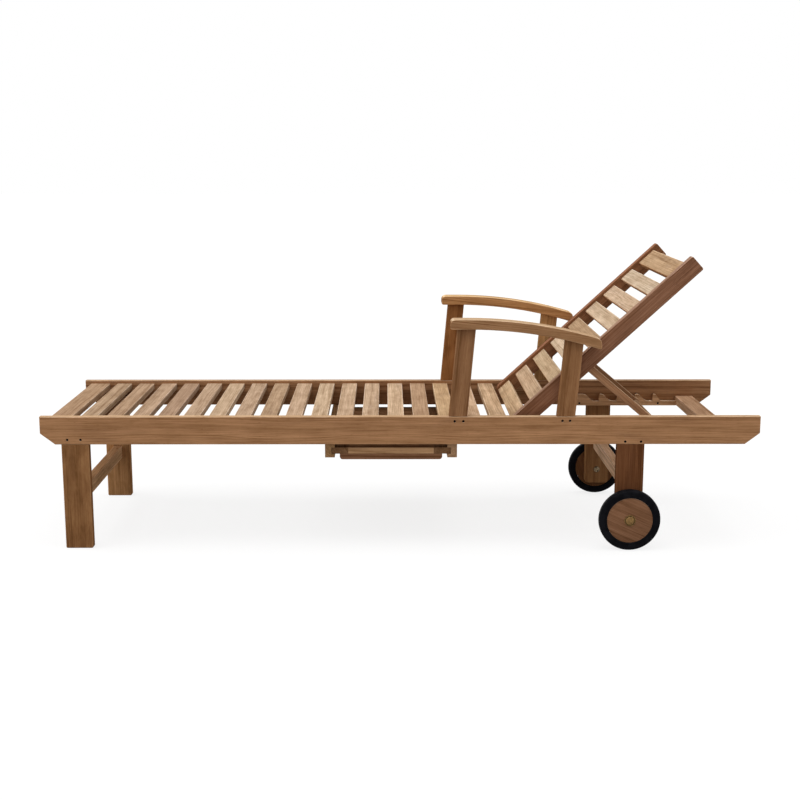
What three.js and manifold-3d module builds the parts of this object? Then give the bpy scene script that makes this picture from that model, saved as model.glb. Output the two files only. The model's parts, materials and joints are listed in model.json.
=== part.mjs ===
// Reclining teak sun lounger: a slatted bed with a hinged backrest held by a prop frame that drops
// into saw-tooth racks, arched armrests, a tray that slides under the seat, and two wheels.
//
// Units are millimetres. X runs from the foot end (-) to the head end (+), Z is up from the ground,
// and -Y is the left-hand side of someone lying on the lounger.

import * as THREE from 'three';
import { mergeVertices } from 'three/addons/utils/BufferGeometryUtils.js';
import Module from 'manifold-3d';

const wasm = await Module();
wasm.setup();

// ---------------------------------------------------------------- sizes

// Clearances
const seatGap = 0.3; // between two pieces that are glued or screwed together
const pinGap = 0.3; // radial play of a pin in its hole
const sideGap = 0.7; // between two pieces that swing or slide past each other
const overlap = 1; // how far a tenon is sunk into its own piece, or a cutter runs past a face

// Bed frame
const railLength = 2000;
const railHeight = 78;
const railThickness = 25;
const frameWidth = 660; // over the outer faces of the two side rails
const railTopHeight = 376; // top edge of the side rails above the ground
const railEndHeight = 47; // upright part of a rail's end, above the sloping cut
const railEndSlope = 41; // how far the sloping cut runs in from the end
const arris = 2; // rounding of every long edge

// Legs and stretchers
const legWidth = 76;
const legThickness = 28;
const frontLegInset = 58; // foot end of the rails to the front legs
const rearLegInset = 320; // head end of the rails to the rear legs
const rearLegLift = 41; // ground to the underside of the rear legs
const frontFootRound = 4;
const rearFootRound = 12;
const legTenonLength = 30;
const legTenonThickness = 9;
const legTenonShoulder = 12; // wood left on each side of a leg's or post's tenon
const stretcherThickness = 26;
const stretcherHeight = 40;
const frontStretcherDrop = 133; // rail underside to the top of the front stretcher
const rearStretcherDrop = 103;
const stretcherTenonLength = 16;

// Cross rails between the side rails, level with their undersides
const crossRailWidth = 54;
const crossRailHeight = 28;
const frontCrossRailInset = 104; // foot end of the rails to the front cross rail
const rearCrossRailInset = 59; // head end of the rails to the rear cross rail

// Seat slats
const seatSlatCount = 18;
const seatSlatWidth = 46.5;
const seatSlatThickness = 18;
const footSlatWidth = 60; // the wider slat at the foot end
const footSlatInset = 19;
const secondSlatInset = 102;
const lastSlatGap = 36; // head-end edge of the last seat slat to the backrest pivot
const slatDrop = 9; // how far slats lie below the top edge of the rails that hold them
const slatTenonLength = 7;
const slatTenonShoulder = 5;
const tenonCheek = 4; // wood above and below the tenon of a slat, stretcher or cross rail

// Backrest, sized as it lies flat
const backPivotInset = 665; // head end of the side rails to the backrest pivot
const backEndInset = 10; // head end of the side rails to the end of the flat backrest
const backRailDepth = 48;
const backRailThickness = 28;
const backRailEndRound = 5; // corners at the top end of the backrest
const reclineAngle = 42.7; // degrees up from flat, with the prop in the third notch
const backSlatCount = 9;
const backSlatWidth = 46.5;
const backSlatThickness = 16;
const topSlatWidth = 60; // the wider slat at the top of the backrest
const topSlatInset = 20.8; // top end of the backrest to its top slat
const lowSlatOverlap = 14.5; // how far the lowest slat reaches past the pivot
const backSlatTenonLength = 10;
const backPinDiameter = 10;
const backPinGrip = 16; // length of the pin inside the side rail
const backCollarDiameter = 26; // spacer between the side rail and the backrest rail

// Racks: the toothed boards inside the side rails
const rackThickness = 18;
const rackHeight = 36;
const rackLength = 343.7;
const notchDepth = 22;
const notchPitch = 57;
const notchCount = 4;
const rackTail = 74.7; // upright wall of the last notch to the head end of the rack
const notchFloor = 14; // flat at the bottom of each notch
const toothLand = 4; // flat at the top of each tooth
const lastRampLength = 26; // shorter ramp behind the last tooth
const restNotch = 3; // the notch that holds the prop, counted from the foot end

// Prop frame
const propPivotRun = 243; // backrest pivot to prop pivot, along the backrest
const propPivotDrop = 36; // top edge of the backrest rail to the prop pivot
const propArmDepth = 20;
const propArmThickness = 25;
const propFootRadius = 12;
const propPinDiameter = 8;
const propPinGrip = 16;
const propBarDiameter = 14;
const propBarPlay = 0.5; // between the bar and the notch that it stands in

// Arm posts and armrests
const postWidth = 51;
const postThickness = 25;
const postRake = 5; // degrees, tops towards the head end
const postTenonLength = 22;
const armrestRun = 199; // front end of the armrest to the backrest pivot
const armrestLength = 416;
const armrestFrontReach = 20; // how far the armrest juts out past the top of the front post
const armrestRearReach = 67; // rear end of the armrest to the foot of the rear post
const armrestWidth = 50;
const armrestThickness = 27.5;
const armrestClearance = 243; // rail top to the underside of the armrest over the front post
const armrestLevelLength = 50; // straight part at the front, before the arc
const armrestArcRadius = 1260; // of the top face
const armrestNose = 15; // rounding of the upper corner at each end
const armrestHeel = 7; // rounding of the lower corner at each end
const armrestArris = 2.5;

// Tray and runners
const trayMiddleX = -25.5; // middle of the tray, from the middle of the side rails
const runnerWidth = 27;
const runnerSpan = 368; // over the outer faces of the two runners
const runnerHeight = 37.8;
const runnerLip = 9.7;
const runnerGroove = 9.5;
const runnerEndInset = 5; // rail outer face to the runner's end
const trayThickness = 17.8;
const traySideGap = 0.8; // tray edge to the bottom of the groove
const trayEndInset = 8; // rail outer face to the tray's end
const trayStileWidth = 46.5;
const trayBoardCount = 9;
const trayBoardGap = 5;
const trayBoardSetback = 0.4; // how far the boards lie below the stiles, above and below
const pullLength = 286;
const pullHeight = 16;
const pullThickness = 30;
const pullRound = 8;

// Wheels
const wheelDiameter = 172;
const discDiameter = 128;
const discThickness = 24;
const tyreWidth = 27;
const tyreShoulder = 7;
const axleDiameter = 10;
const capDiameter = 32;
const capHeight = 5;
const capEdge = 1.5; // straight edge of the cap, below its dome
const washerDiameter = 26;
const washerThickness = 3;
const nutDiameter = 19.5;
const nutHeight = 2.5;
const nutEdge = 1; // chamfer

// ---------------------------------------------------------------- places worked out from the sizes

const rad = THREE.MathUtils.degToRad;
const halfLength = railLength / 2;
const outerY = frameWidth / 2;
const innerY = outerY - railThickness;
const railTop = railTopHeight;
const railFoot = railTopHeight - railHeight;
const slatTop = railTop - slatDrop;

const frontLegX = -halfLength + frontLegInset;
const rearLegX = halfLength - rearLegInset - legWidth;
const legInnerY = outerY - legThickness;

const backPivotX = halfLength - backPivotInset;
const backRailReach = backPivotInset - backEndInset;
const rackInnerY = innerY - seatGap - rackThickness;
const backOuterY = rackInnerY - sideGap;
const backInnerY = backOuterY - backRailThickness;
const backPivotZ = railTop - backRailDepth / 2;
const rearCrossRailX = halfLength - rearCrossRailInset - crossRailWidth;

const rackEndX = rearCrossRailX - seatGap;
const lastWallX = rackEndX - rackTail;
const notchFloorZ = railFoot + rackHeight - notchDepth;
const restWallX = lastWallX - (notchCount - restNotch) * notchPitch;
const barX = restWallX - propBarPlay - propBarDiameter / 2;
const barZ = notchFloorZ + propBarPlay + propBarDiameter / 2;

// ---------------------------------------------------------------- solids

/** A closed three.js geometry as a manifold-3d solid. */
function solidOf(geometry) {
  const bare = geometry.clone();
  bare.deleteAttribute('normal');
  bare.deleteAttribute('uv');
  const merged = mergeVertices(bare, 1e-4);
  const vertProperties = Float32Array.from(merged.attributes.position.array);
  const triVerts = Uint32Array.from(merged.index.array);
  return new wasm.Manifold(new wasm.Mesh({ numProp: 3, vertProperties, triVerts }));
}

/** A manifold-3d solid as a three.js geometry. */
function geometryOf(solid) {
  const mesh = solid.getMesh();
  const geometry = new THREE.BufferGeometry();
  geometry.setAttribute('position', new THREE.BufferAttribute(mesh.vertProperties, 3));
  geometry.setIndex(new THREE.BufferAttribute(mesh.triVerts, 1));
  geometry.computeVertexNormals();
  return geometry;
}

/** A plain block between two values on each axis: tenons, and what cuts mortises. */
function block([x0, x1], [y0, y1], [z0, z1]) {
  const geometry = new THREE.BoxGeometry(x1 - x0, y1 - y0, z1 - z0);
  geometry.translate((x0 + x1) / 2, (y0 + y1) / 2, (z0 + z1) / 2);
  return solidOf(geometry);
}

/** A round pin or hole along Y. */
function pinAlongY(diameter, [y0, y1], x, z) {
  const geometry = new THREE.CylinderGeometry(diameter / 2, diameter / 2, y1 - y0, 24);
  geometry.translate(x, (y0 + y1) / 2, z);
  return solidOf(geometry);
}

/** A board cut to an outline in the XZ plane, with its two faces at y0 and y1 and softened edges. */
function plank(outline, [y0, y1], round = 0, curveSegments = 6) {
  const geometry = new THREE.ExtrudeGeometry(outline, {
    depth: y1 - y0 - 2 * round,
    curveSegments,
    bevelEnabled: round > 0,
    bevelThickness: round,
    bevelSize: round,
    bevelOffset: -round,
    bevelSegments: 2,
  });
  geometry.translate(0, 0, round);
  geometry.rotateX(Math.PI / 2);
  geometry.translate(0, y1, 0);
  return solidOf(geometry);
}

/** A rectangle in the XZ plane, with rounded corners given as [top left, top right, low right, low left]. */
function rectangle([x0, x1], [z0, z1], [topLeft, topRight, lowRight, lowLeft]) {
  const shape = new THREE.Shape();
  const quarter = Math.PI / 2;
  shape.moveTo(x0 + lowLeft, z0);
  shape.lineTo(x1 - lowRight, z0);
  if (lowRight > 0) shape.absarc(x1 - lowRight, z0 + lowRight, lowRight, -quarter, 0);
  shape.lineTo(x1, z1 - topRight);
  if (topRight > 0) shape.absarc(x1 - topRight, z1 - topRight, topRight, 0, quarter);
  shape.lineTo(x0 + topLeft, z1);
  if (topLeft > 0) shape.absarc(x0 + topLeft, z1 - topLeft, topLeft, quarter, 2 * quarter);
  shape.lineTo(x0, z0 + lowLeft);
  if (lowLeft > 0) shape.absarc(x0 + lowLeft, z0 + lowLeft, lowLeft, 2 * quarter, 3 * quarter);
  return shape;
}

/** A board that runs across the lounger, its section rounded by the arris. */
function boardAcross(xs, zs, [y0, y1]) {
  return plank(rectangle(xs, zs, [arris, arris, arris, arris]), [y0, y1], 0, 1);
}

/**
 * A board between two others, with a tenon on each end.
 * halfSpan is where its shoulders stop, and sockets are the mortises that its tenons need.
 */
function tenonedBoard(xs, zs, halfSpan, tenonLength) {
  const tenonXs = [xs[0] + slatTenonShoulder, xs[1] - slatTenonShoulder];
  const tenonZs = [zs[0] + tenonCheek, zs[1] - tenonCheek];
  const shoulder = halfSpan - seatGap;
  const reach = halfSpan + tenonLength;
  const tenon = block(tenonXs, [-reach, reach], tenonZs);
  const solid = boardAcross(xs, zs, [-shoulder, shoulder]).add(tenon);
  const grow = ([low, high]) => [low - seatGap, high + seatGap];
  const sockets = block(grow(tenonXs), grow([-reach, reach]), grow(tenonZs));
  return { solid, sockets };
}

// ---------------------------------------------------------------- scene graph

const lounger = new THREE.Group();

const finishes = {
  teak: { color: 0xa97c52, roughness: 0.62, metalness: 0 },
  rubber: { color: 0x1b1c1f, roughness: 0.75, metalness: 0 },
  brass: { color: 0x9c7f4a, roughness: 0.38, metalness: 1 },
};

function addPiece(name, solid, finish = 'teak', parent = lounger) {
  const mesh = new THREE.Mesh(geometryOf(solid), new THREE.MeshStandardMaterial(finishes[finish]));
  mesh.name = name;
  parent.add(mesh);
}

// A piece on the left of the lounger is made at -Y, and its partner on the right is its mirror image.
const sides = [
  { name: 'left', sign: -1 },
  { name: 'right', sign: 1 },
];

/** Two Y values, measured outwards from the middle of the lounger, as a range on one side. */
function outward(sign, near, far) {
  return sign > 0 ? [near, far] : [-far, -near];
}

// ---------------------------------------------------------------- seat slats and cross rails

/** The foot-to-head range of a seat slat, counted from 1 at the foot end. */
function seatSlatRange(number) {
  if (number === 1) {
    const start = -halfLength + footSlatInset;
    return [start, start + footSlatWidth];
  }
  const second = -halfLength + secondSlatInset;
  const last = backPivotX - lastSlatGap - seatSlatWidth;
  const start = second + ((number - 2) * (last - second)) / (seatSlatCount - 2);
  return [start, start + seatSlatWidth];
}

/** Everything tenoned between the side rails, and the mortises that it needs in them. */
function buildBedBoards() {
  let mortises = null;
  const lay = (name, xs, zs) => {
    const { solid, sockets } = tenonedBoard(xs, zs, innerY, slatTenonLength);
    mortises = mortises ? mortises.add(sockets) : sockets;
    addPiece(name, solid);
  };
  for (let number = 1; number <= seatSlatCount; number += 1) {
    const label = String(number).padStart(2, '0');
    lay(`seat_slat_${label}`, seatSlatRange(number), [slatTop - seatSlatThickness, slatTop]);
  }
  const crossRailZs = [railFoot, railFoot + crossRailHeight];
  const frontX = -halfLength + frontCrossRailInset;
  lay('front_cross_rail', [frontX, frontX + crossRailWidth], crossRailZs);
  lay('rear_cross_rail', [rearCrossRailX, rearCrossRailX + crossRailWidth], crossRailZs);
  return mortises;
}

// ---------------------------------------------------------------- legs and stretchers

/** One leg with its tenon on top, and the mortise that the tenon needs in the side rail. */
function buildLeg(name, legX, foot, footRound, stretcherSockets, bore, sign) {
  const xs = [legX, legX + legWidth];
  const ys = outward(sign, legInnerY, outerY);
  const outline = rectangle(xs, [foot, railFoot - seatGap], [0, 0, footRound, footRound]);
  const tenonXs = [xs[0] + legTenonShoulder, xs[1] - legTenonShoulder];
  const tenonInner = outerY - (railThickness + legTenonThickness) / 2;
  const tenonYs = outward(sign, tenonInner, tenonInner + legTenonThickness);
  const tenonTop = railFoot + legTenonLength;
  let leg = plank(outline, ys, arris, 4);
  leg = leg.add(block(tenonXs, tenonYs, [railFoot - arris - seatGap - overlap, tenonTop]));
  leg = leg.subtract(stretcherSockets);
  if (bore) leg = leg.subtract(bore);
  addPiece(name, leg);
  const grow = ([low, high]) => [low - seatGap, high + seatGap];
  return block(grow(tenonXs), grow(tenonYs), [railFoot - overlap, tenonTop + seatGap]);
}

/** Both pairs of legs, each with its stretcher, and the mortises of the legs in each side rail. */
function buildLegs() {
  const makeStretcher = (name, legX, drop) => {
    const middle = legX + legWidth / 2;
    const xs = [middle - stretcherThickness / 2, middle + stretcherThickness / 2];
    const top = railFoot - drop;
    const span = legInnerY;
    const { solid, sockets } = tenonedBoard(xs, [top - stretcherHeight, top], span, stretcherTenonLength);
    addPiece(name, solid);
    return sockets;
  };
  const frontSockets = makeStretcher('front_stretcher', frontLegX, frontStretcherDrop);
  const rearSockets = makeStretcher('rear_stretcher', rearLegX, rearStretcherDrop);
  const mortises = {};
  for (const { name, sign } of sides) {
    const axleX = rearLegX + legWidth / 2;
    const boreYs = outward(sign, legInnerY - overlap, outerY + overlap);
    const bore = pinAlongY(axleDiameter + 2 * pinGap, boreYs, axleX, wheelDiameter / 2);
    const front = buildLeg(`front_leg_${name}`, frontLegX, 0, frontFootRound, frontSockets, null, sign);
    const rear = buildLeg(`rear_leg_${name}`, rearLegX, rearLegLift, rearFootRound, rearSockets, bore, sign);
    mortises[name] = front.add(rear);
  }
  return mortises;
}

// ---------------------------------------------------------------- armrests

const armrestStartX = backPivotX - armrestRun;
const armrestArcStartX = armrestStartX + armrestLevelLength;
const postLean = Math.tan(rad(postRake));
const frontPostX = armrestStartX + armrestFrontReach - postLean * armrestClearance;
const rearPostX = armrestStartX + armrestLength - armrestRearReach - postWidth;

/** Height of the armrest's top face at x. */
function armrestTop(x) {
  const level = railTop + armrestClearance + armrestThickness;
  const run = Math.max(0, x - armrestArcStartX);
  return level - armrestArcRadius + Math.sqrt(armrestArcRadius ** 2 - run ** 2);
}

/** Height of the armrest's underside at x, an arc with the same centre as the top. */
function armrestUnderside(x) {
  const level = railTop + armrestClearance;
  const radius = armrestArcRadius - armrestThickness;
  const run = Math.max(0, x - armrestArcStartX);
  return level - radius + Math.sqrt(radius ** 2 - run ** 2);
}

/** The side view of an armrest: level over the front post, then bent down towards the head end. */
function armrestOutline() {
  const start = armrestStartX;
  const end = armrestStartX + armrestLength;
  const centreZ = armrestTop(armrestArcStartX) - armrestArcRadius;
  const topAngle = Math.acos((end - armrestNose - armrestArcStartX) / armrestArcRadius);
  const lowRadius = armrestArcRadius - armrestThickness;
  const lowAngle = Math.acos((end - armrestHeel - armrestArcStartX) / lowRadius);
  const frontTop = armrestTop(start);
  const frontLow = armrestUnderside(start);
  const endTop = armrestTop(end);
  const endLow = armrestUnderside(end);
  const outline = new THREE.Shape();
  outline.moveTo(start + armrestHeel, frontLow);
  outline.lineTo(armrestArcStartX, frontLow);
  outline.absarc(armrestArcStartX, centreZ, lowRadius, Math.PI / 2, lowAngle, true);
  outline.quadraticCurveTo(end, endLow, end, endLow + armrestHeel);
  outline.lineTo(end, endTop - armrestNose);
  outline.quadraticCurveTo(end, endTop, end - armrestNose, armrestTop(end - armrestNose));
  outline.absarc(armrestArcStartX, centreZ, armrestArcRadius, topAngle, Math.PI / 2, false);
  outline.lineTo(start + armrestNose, frontTop);
  outline.quadraticCurveTo(start, frontTop, start, frontTop - armrestNose);
  outline.lineTo(start, frontLow + armrestHeel);
  outline.quadraticCurveTo(start, frontLow, start + armrestHeel, frontLow);
  return outline;
}

/** One raked post under an armrest, and the mortise that its tenon needs in the side rail. */
function buildPost(name, footX, sign) {
  const foot = railTop + seatGap;
  const corner = (x) => {
    // Slide up the raked edge until it meets the underside of the armrest.
    let z = armrestUnderside(x);
    for (let step = 0; step < 4; step += 1) {
      z = armrestUnderside(x + postLean * (z - foot)) - seatGap;
    }
    return [x + postLean * (z - foot), z];
  };
  const outline = new THREE.Shape();
  outline.moveTo(footX, foot);
  outline.lineTo(footX + postWidth, foot);
  outline.lineTo(...corner(footX + postWidth));
  outline.lineTo(...corner(footX));
  const ys = outward(sign, outerY - postThickness, outerY);
  const tenonXs = [footX + legTenonShoulder, footX + postWidth - legTenonShoulder];
  const tenonInner = outerY - (railThickness + legTenonThickness) / 2;
  const tenonYs = outward(sign, tenonInner, tenonInner + legTenonThickness);
  const tenonFoot = railTop - postTenonLength;
  const tenon = block(tenonXs, tenonYs, [tenonFoot, foot + arris + overlap]);
  addPiece(name, plank(outline, ys, arris).add(tenon));
  const grow = ([low, high]) => [low - seatGap, high + seatGap];
  return block(grow(tenonXs), grow(tenonYs), [tenonFoot - seatGap, railTop + overlap]);
}

/** Both armrests on their posts, and the mortises of the posts in each side rail. */
function buildArmrests() {
  const middleY = outerY - postThickness / 2;
  const mortises = {};
  for (const { name, sign } of sides) {
    const ys = outward(sign, middleY - armrestWidth / 2, middleY + armrestWidth / 2);
    addPiece(`armrest_${name}`, plank(armrestOutline(), ys, armrestArris, 6));
    const front = buildPost(`arm_post_front_${name}`, frontPostX, sign);
    const rear = buildPost(`arm_post_rear_${name}`, rearPostX, sign);
    mortises[name] = front.add(rear);
  }
  return mortises;
}

// ---------------------------------------------------------------- side rails

function railOutline() {
  const outline = new THREE.Shape();
  outline.moveTo(-halfLength, railTop);
  outline.lineTo(-halfLength, railTop - railEndHeight);
  outline.lineTo(-halfLength + railEndSlope, railFoot);
  outline.lineTo(halfLength - railEndSlope, railFoot);
  outline.lineTo(halfLength, railTop - railEndHeight);
  outline.lineTo(halfLength, railTop);
  return outline;
}

function buildSideRails(boardMortises, legMortises, postMortises) {
  for (const { name, sign } of sides) {
    const pinHole = pinAlongY(
      backPinDiameter + 2 * pinGap,
      outward(sign, innerY - overlap, innerY + backPinGrip + sideGap),
      backPivotX,
      backPivotZ,
    );
    const rail = plank(railOutline(), outward(sign, innerY, outerY), arris)
      .subtract(boardMortises)
      .subtract(legMortises[name])
      .subtract(postMortises[name])
      .subtract(pinHole);
    addPiece(`side_rail_${name}`, rail);
  }
}

// ---------------------------------------------------------------- racks

/**
 * The side view of a rack. Each notch has an upright wall on its head side, which holds the prop's
 * bar, and an S-shaped ramp on its foot side, up which the bar slides to the next notch.
 */
function rackOutline() {
  const start = rackEndX - rackLength;
  const end = rackEndX;
  const foot = railFoot;
  const top = railFoot + rackHeight;
  const outline = new THREE.Shape();
  const ramp = (fromX, fromZ, toX, toZ) => {
    const middle = (fromX + toX) / 2;
    outline.bezierCurveTo(middle, fromZ, middle, toZ, toX, toZ);
  };
  outline.moveTo(start, foot);
  outline.lineTo(end, foot);
  outline.lineTo(end, notchFloorZ);
  const lastRampFoot = lastWallX + toothLand + lastRampLength;
  outline.lineTo(lastRampFoot, notchFloorZ);
  ramp(lastRampFoot, notchFloorZ, lastWallX + toothLand, top);
  for (let notch = notchCount; notch >= 1; notch -= 1) {
    const wallX = lastWallX - (notchCount - notch) * notchPitch;
    const rampFoot = wallX - notchFloor;
    const rampTop = wallX - notchPitch + toothLand;
    outline.lineTo(wallX, top);
    outline.lineTo(wallX, notchFloorZ);
    outline.lineTo(rampFoot, notchFloorZ);
    ramp(rampFoot, notchFloorZ, rampTop, top);
  }
  outline.lineTo(start, top);
  return outline;
}

function buildRacks() {
  for (const { name, sign } of sides) {
    const ys = outward(sign, rackInnerY, rackInnerY + rackThickness);
    addPiece(`rack_${name}`, plank(rackOutline(), ys, 0, 8));
  }
}

// ---------------------------------------------------------------- backrest

/** The side view of a backrest rail as it lies flat, round about its pivot, which is the origin. */
function backRailOutline() {
  const half = backRailDepth / 2;
  const outline = new THREE.Shape();
  const end = backRailReach - backRailEndRound;
  const corner = half - backRailEndRound;
  outline.moveTo(0, -half);
  outline.lineTo(end, -half);
  outline.absarc(end, -corner, backRailEndRound, -Math.PI / 2, 0);
  outline.lineTo(backRailReach, corner);
  outline.absarc(end, corner, backRailEndRound, 0, Math.PI / 2);
  outline.lineTo(0, half);
  outline.absarc(0, 0, half, Math.PI / 2, (3 * Math.PI) / 2);
  return outline;
}

/** The range of a backrest slat along the backrest, counted from 1 at its lower end. */
function backSlatRange(number) {
  const topStart = backRailReach - topSlatInset - topSlatWidth;
  const pitch = (topStart + lowSlatOverlap) / (backSlatCount - 1);
  const start = -lowSlatOverlap + (number - 1) * pitch;
  const width = number === backSlatCount ? topSlatWidth : backSlatWidth;
  return [start, start + width];
}

/** The backrest, built flat about its pivot and then swung up. */
function buildBackrest() {
  const backrest = new THREE.Group();
  backrest.position.set(backPivotX, 0, backPivotZ);
  backrest.rotation.y = -rad(reclineAngle);
  lounger.add(backrest);

  const top = backRailDepth / 2 - slatDrop;
  let mortises = null;
  for (let number = 1; number <= backSlatCount; number += 1) {
    const zs = [top - backSlatThickness, top];
    const { solid, sockets } = tenonedBoard(backSlatRange(number), zs, backInnerY, backSlatTenonLength);
    mortises = mortises ? mortises.add(sockets) : sockets;
    addPiece(`back_slat_${number}`, solid, 'teak', backrest);
  }

  const propPinZ = backRailDepth / 2 - propPivotDrop;
  const propHole = propPinDiameter + 2 * pinGap;
  for (const { name, sign } of sides) {
    const holeYs = outward(sign, backInnerY - overlap, backInnerY + propPinGrip + sideGap);
    const collarYs = outward(sign, backOuterY - overlap, innerY - seatGap);
    const pinYs = outward(sign, backOuterY - overlap, innerY + backPinGrip);
    const rail = plank(backRailOutline(), outward(sign, backInnerY, backOuterY), arris, 6)
      .subtract(mortises)
      .subtract(pinAlongY(propHole, holeYs, propPivotRun, propPinZ))
      .add(pinAlongY(backCollarDiameter, collarYs, 0, 0))
      .add(pinAlongY(backPinDiameter, pinYs, 0, 0));
    addPiece(`back_rail_${name}`, rail, 'teak', backrest);
  }
}

// ---------------------------------------------------------------- prop frame

/** Where the prop's pivot is once the backrest has been swung up. */
function propPivot() {
  const angle = rad(reclineAngle);
  const drop = backRailDepth / 2 - propPivotDrop;
  const x = backPivotX + propPivotRun * Math.cos(angle) - drop * Math.sin(angle);
  const z = backPivotZ + propPivotRun * Math.sin(angle) + drop * Math.cos(angle);
  return { x, z };
}

/** The side view of a prop arm, from its pivot at the origin to the bar in its foot. */
function propArmOutline(length) {
  const half = propArmDepth / 2;
  const neck = Math.sqrt(propFootRadius ** 2 - half ** 2);
  const flare = Math.asin(half / propFootRadius);
  const outline = new THREE.Shape();
  outline.moveTo(0, -half);
  outline.lineTo(length - neck, -half);
  outline.absarc(length, 0, propFootRadius, -Math.PI + flare, Math.PI - flare);
  outline.lineTo(0, half);
  outline.absarc(0, 0, half, Math.PI / 2, (3 * Math.PI) / 2);
  return outline;
}

/** The prop frame, built along X from its pivot and then swung down into its notch. */
function buildProp() {
  const pivot = propPivot();
  const length = Math.hypot(barX - pivot.x, barZ - pivot.z);
  const prop = new THREE.Group();
  prop.position.set(pivot.x, 0, pivot.z);
  prop.rotation.y = Math.atan2(pivot.z - barZ, barX - pivot.x);
  lounger.add(prop);

  const armOuterY = backInnerY - sideGap;
  const armInnerY = armOuterY - propArmThickness;
  for (const { name, sign } of sides) {
    const holeYs = outward(sign, armInnerY - overlap, armOuterY + overlap);
    const arm = plank(propArmOutline(length), outward(sign, armInnerY, armOuterY), arris, 6)
      .subtract(pinAlongY(propBarDiameter + 2 * seatGap, holeYs, length, 0))
      .add(pinAlongY(propPinDiameter, outward(sign, armOuterY - overlap, backInnerY + propPinGrip), 0, 0));
    addPiece(`prop_arm_${name}`, arm, 'teak', prop);
  }
  addPiece('prop_bar', pinAlongY(propBarDiameter, [-backOuterY, backOuterY], length, 0), 'teak', prop);
}

// ---------------------------------------------------------------- tray

/** The end view of a runner whose groove opens towards the other one. */
function runnerOutline(backX, grooveDirection) {
  const top = railFoot - seatGap;
  const foot = top - runnerHeight;
  const open = backX + grooveDirection * runnerWidth;
  const groove = open - grooveDirection * runnerGroove;
  const outline = new THREE.Shape();
  outline.moveTo(backX, foot);
  outline.lineTo(open, foot);
  outline.lineTo(open, foot + runnerLip);
  outline.lineTo(groove, foot + runnerLip);
  outline.lineTo(groove, top - runnerLip);
  outline.lineTo(open, top - runnerLip);
  outline.lineTo(open, top);
  outline.lineTo(backX, top);
  return outline;
}

/** The tray: two stiles that run in the grooves, with boards let in between them. */
function buildTray() {
  const runnerYs = [-outerY + runnerEndInset, outerY - runnerEndInset];
  const runnerStartX = trayMiddleX - runnerSpan / 2;
  addPiece('tray_runner_foot', plank(runnerOutline(runnerStartX, 1), runnerYs));
  addPiece('tray_runner_head', plank(runnerOutline(runnerStartX + runnerSpan, -1), runnerYs));

  const web = runnerWidth - runnerGroove + traySideGap;
  const startX = runnerStartX + web;
  const endX = runnerStartX + runnerSpan - web;
  const grooveFoot = railFoot - seatGap - runnerHeight + runnerLip;
  const foot = grooveFoot + seatGap;
  const top = foot + trayThickness;
  const ys = [-outerY + trayEndInset, outerY - trayEndInset];
  let deck = boardAcross([startX, startX + trayStileWidth], [foot, top], ys);
  deck = deck.add(boardAcross([endX - trayStileWidth, endX], [foot, top], ys));
  const boardPitch = (ys[1] - ys[0] + trayBoardGap) / trayBoardCount;
  for (let board = 0; board < trayBoardCount; board += 1) {
    const y0 = ys[0] + board * boardPitch;
    const boardYs = [y0, y0 + boardPitch - trayBoardGap];
    const inset = trayStileWidth - slatTenonLength;
    const boardXs = [startX + inset, endX - inset];
    deck = deck.add(block(boardXs, boardYs, [foot + trayBoardSetback, top - trayBoardSetback]));
  }
  addPiece('tray_deck', deck);

  const pullXs = [trayMiddleX - pullLength / 2, trayMiddleX + pullLength / 2];
  const pullZs = [foot - seatGap - pullHeight, foot - seatGap];
  const pullOutline = rectangle(pullXs, pullZs, [0, 0, pullRound, pullRound]);
  addPiece('tray_pull', plank(pullOutline, [ys[0], ys[0] + pullThickness], arris, 4));
}

// ---------------------------------------------------------------- wheels

/** A turned piece about an axle along Y. profile is [radius, distance outwards], closed on itself. */
function turned(profile, sign, axleX, axleZ, segments) {
  const points = profile.map(([radius, out]) => new THREE.Vector2(radius, out));
  const geometry = new THREE.LatheGeometry(points, segments);
  if (sign < 0) geometry.rotateX(Math.PI);
  geometry.translate(axleX, 0, axleZ);
  return solidOf(geometry);
}

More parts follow.
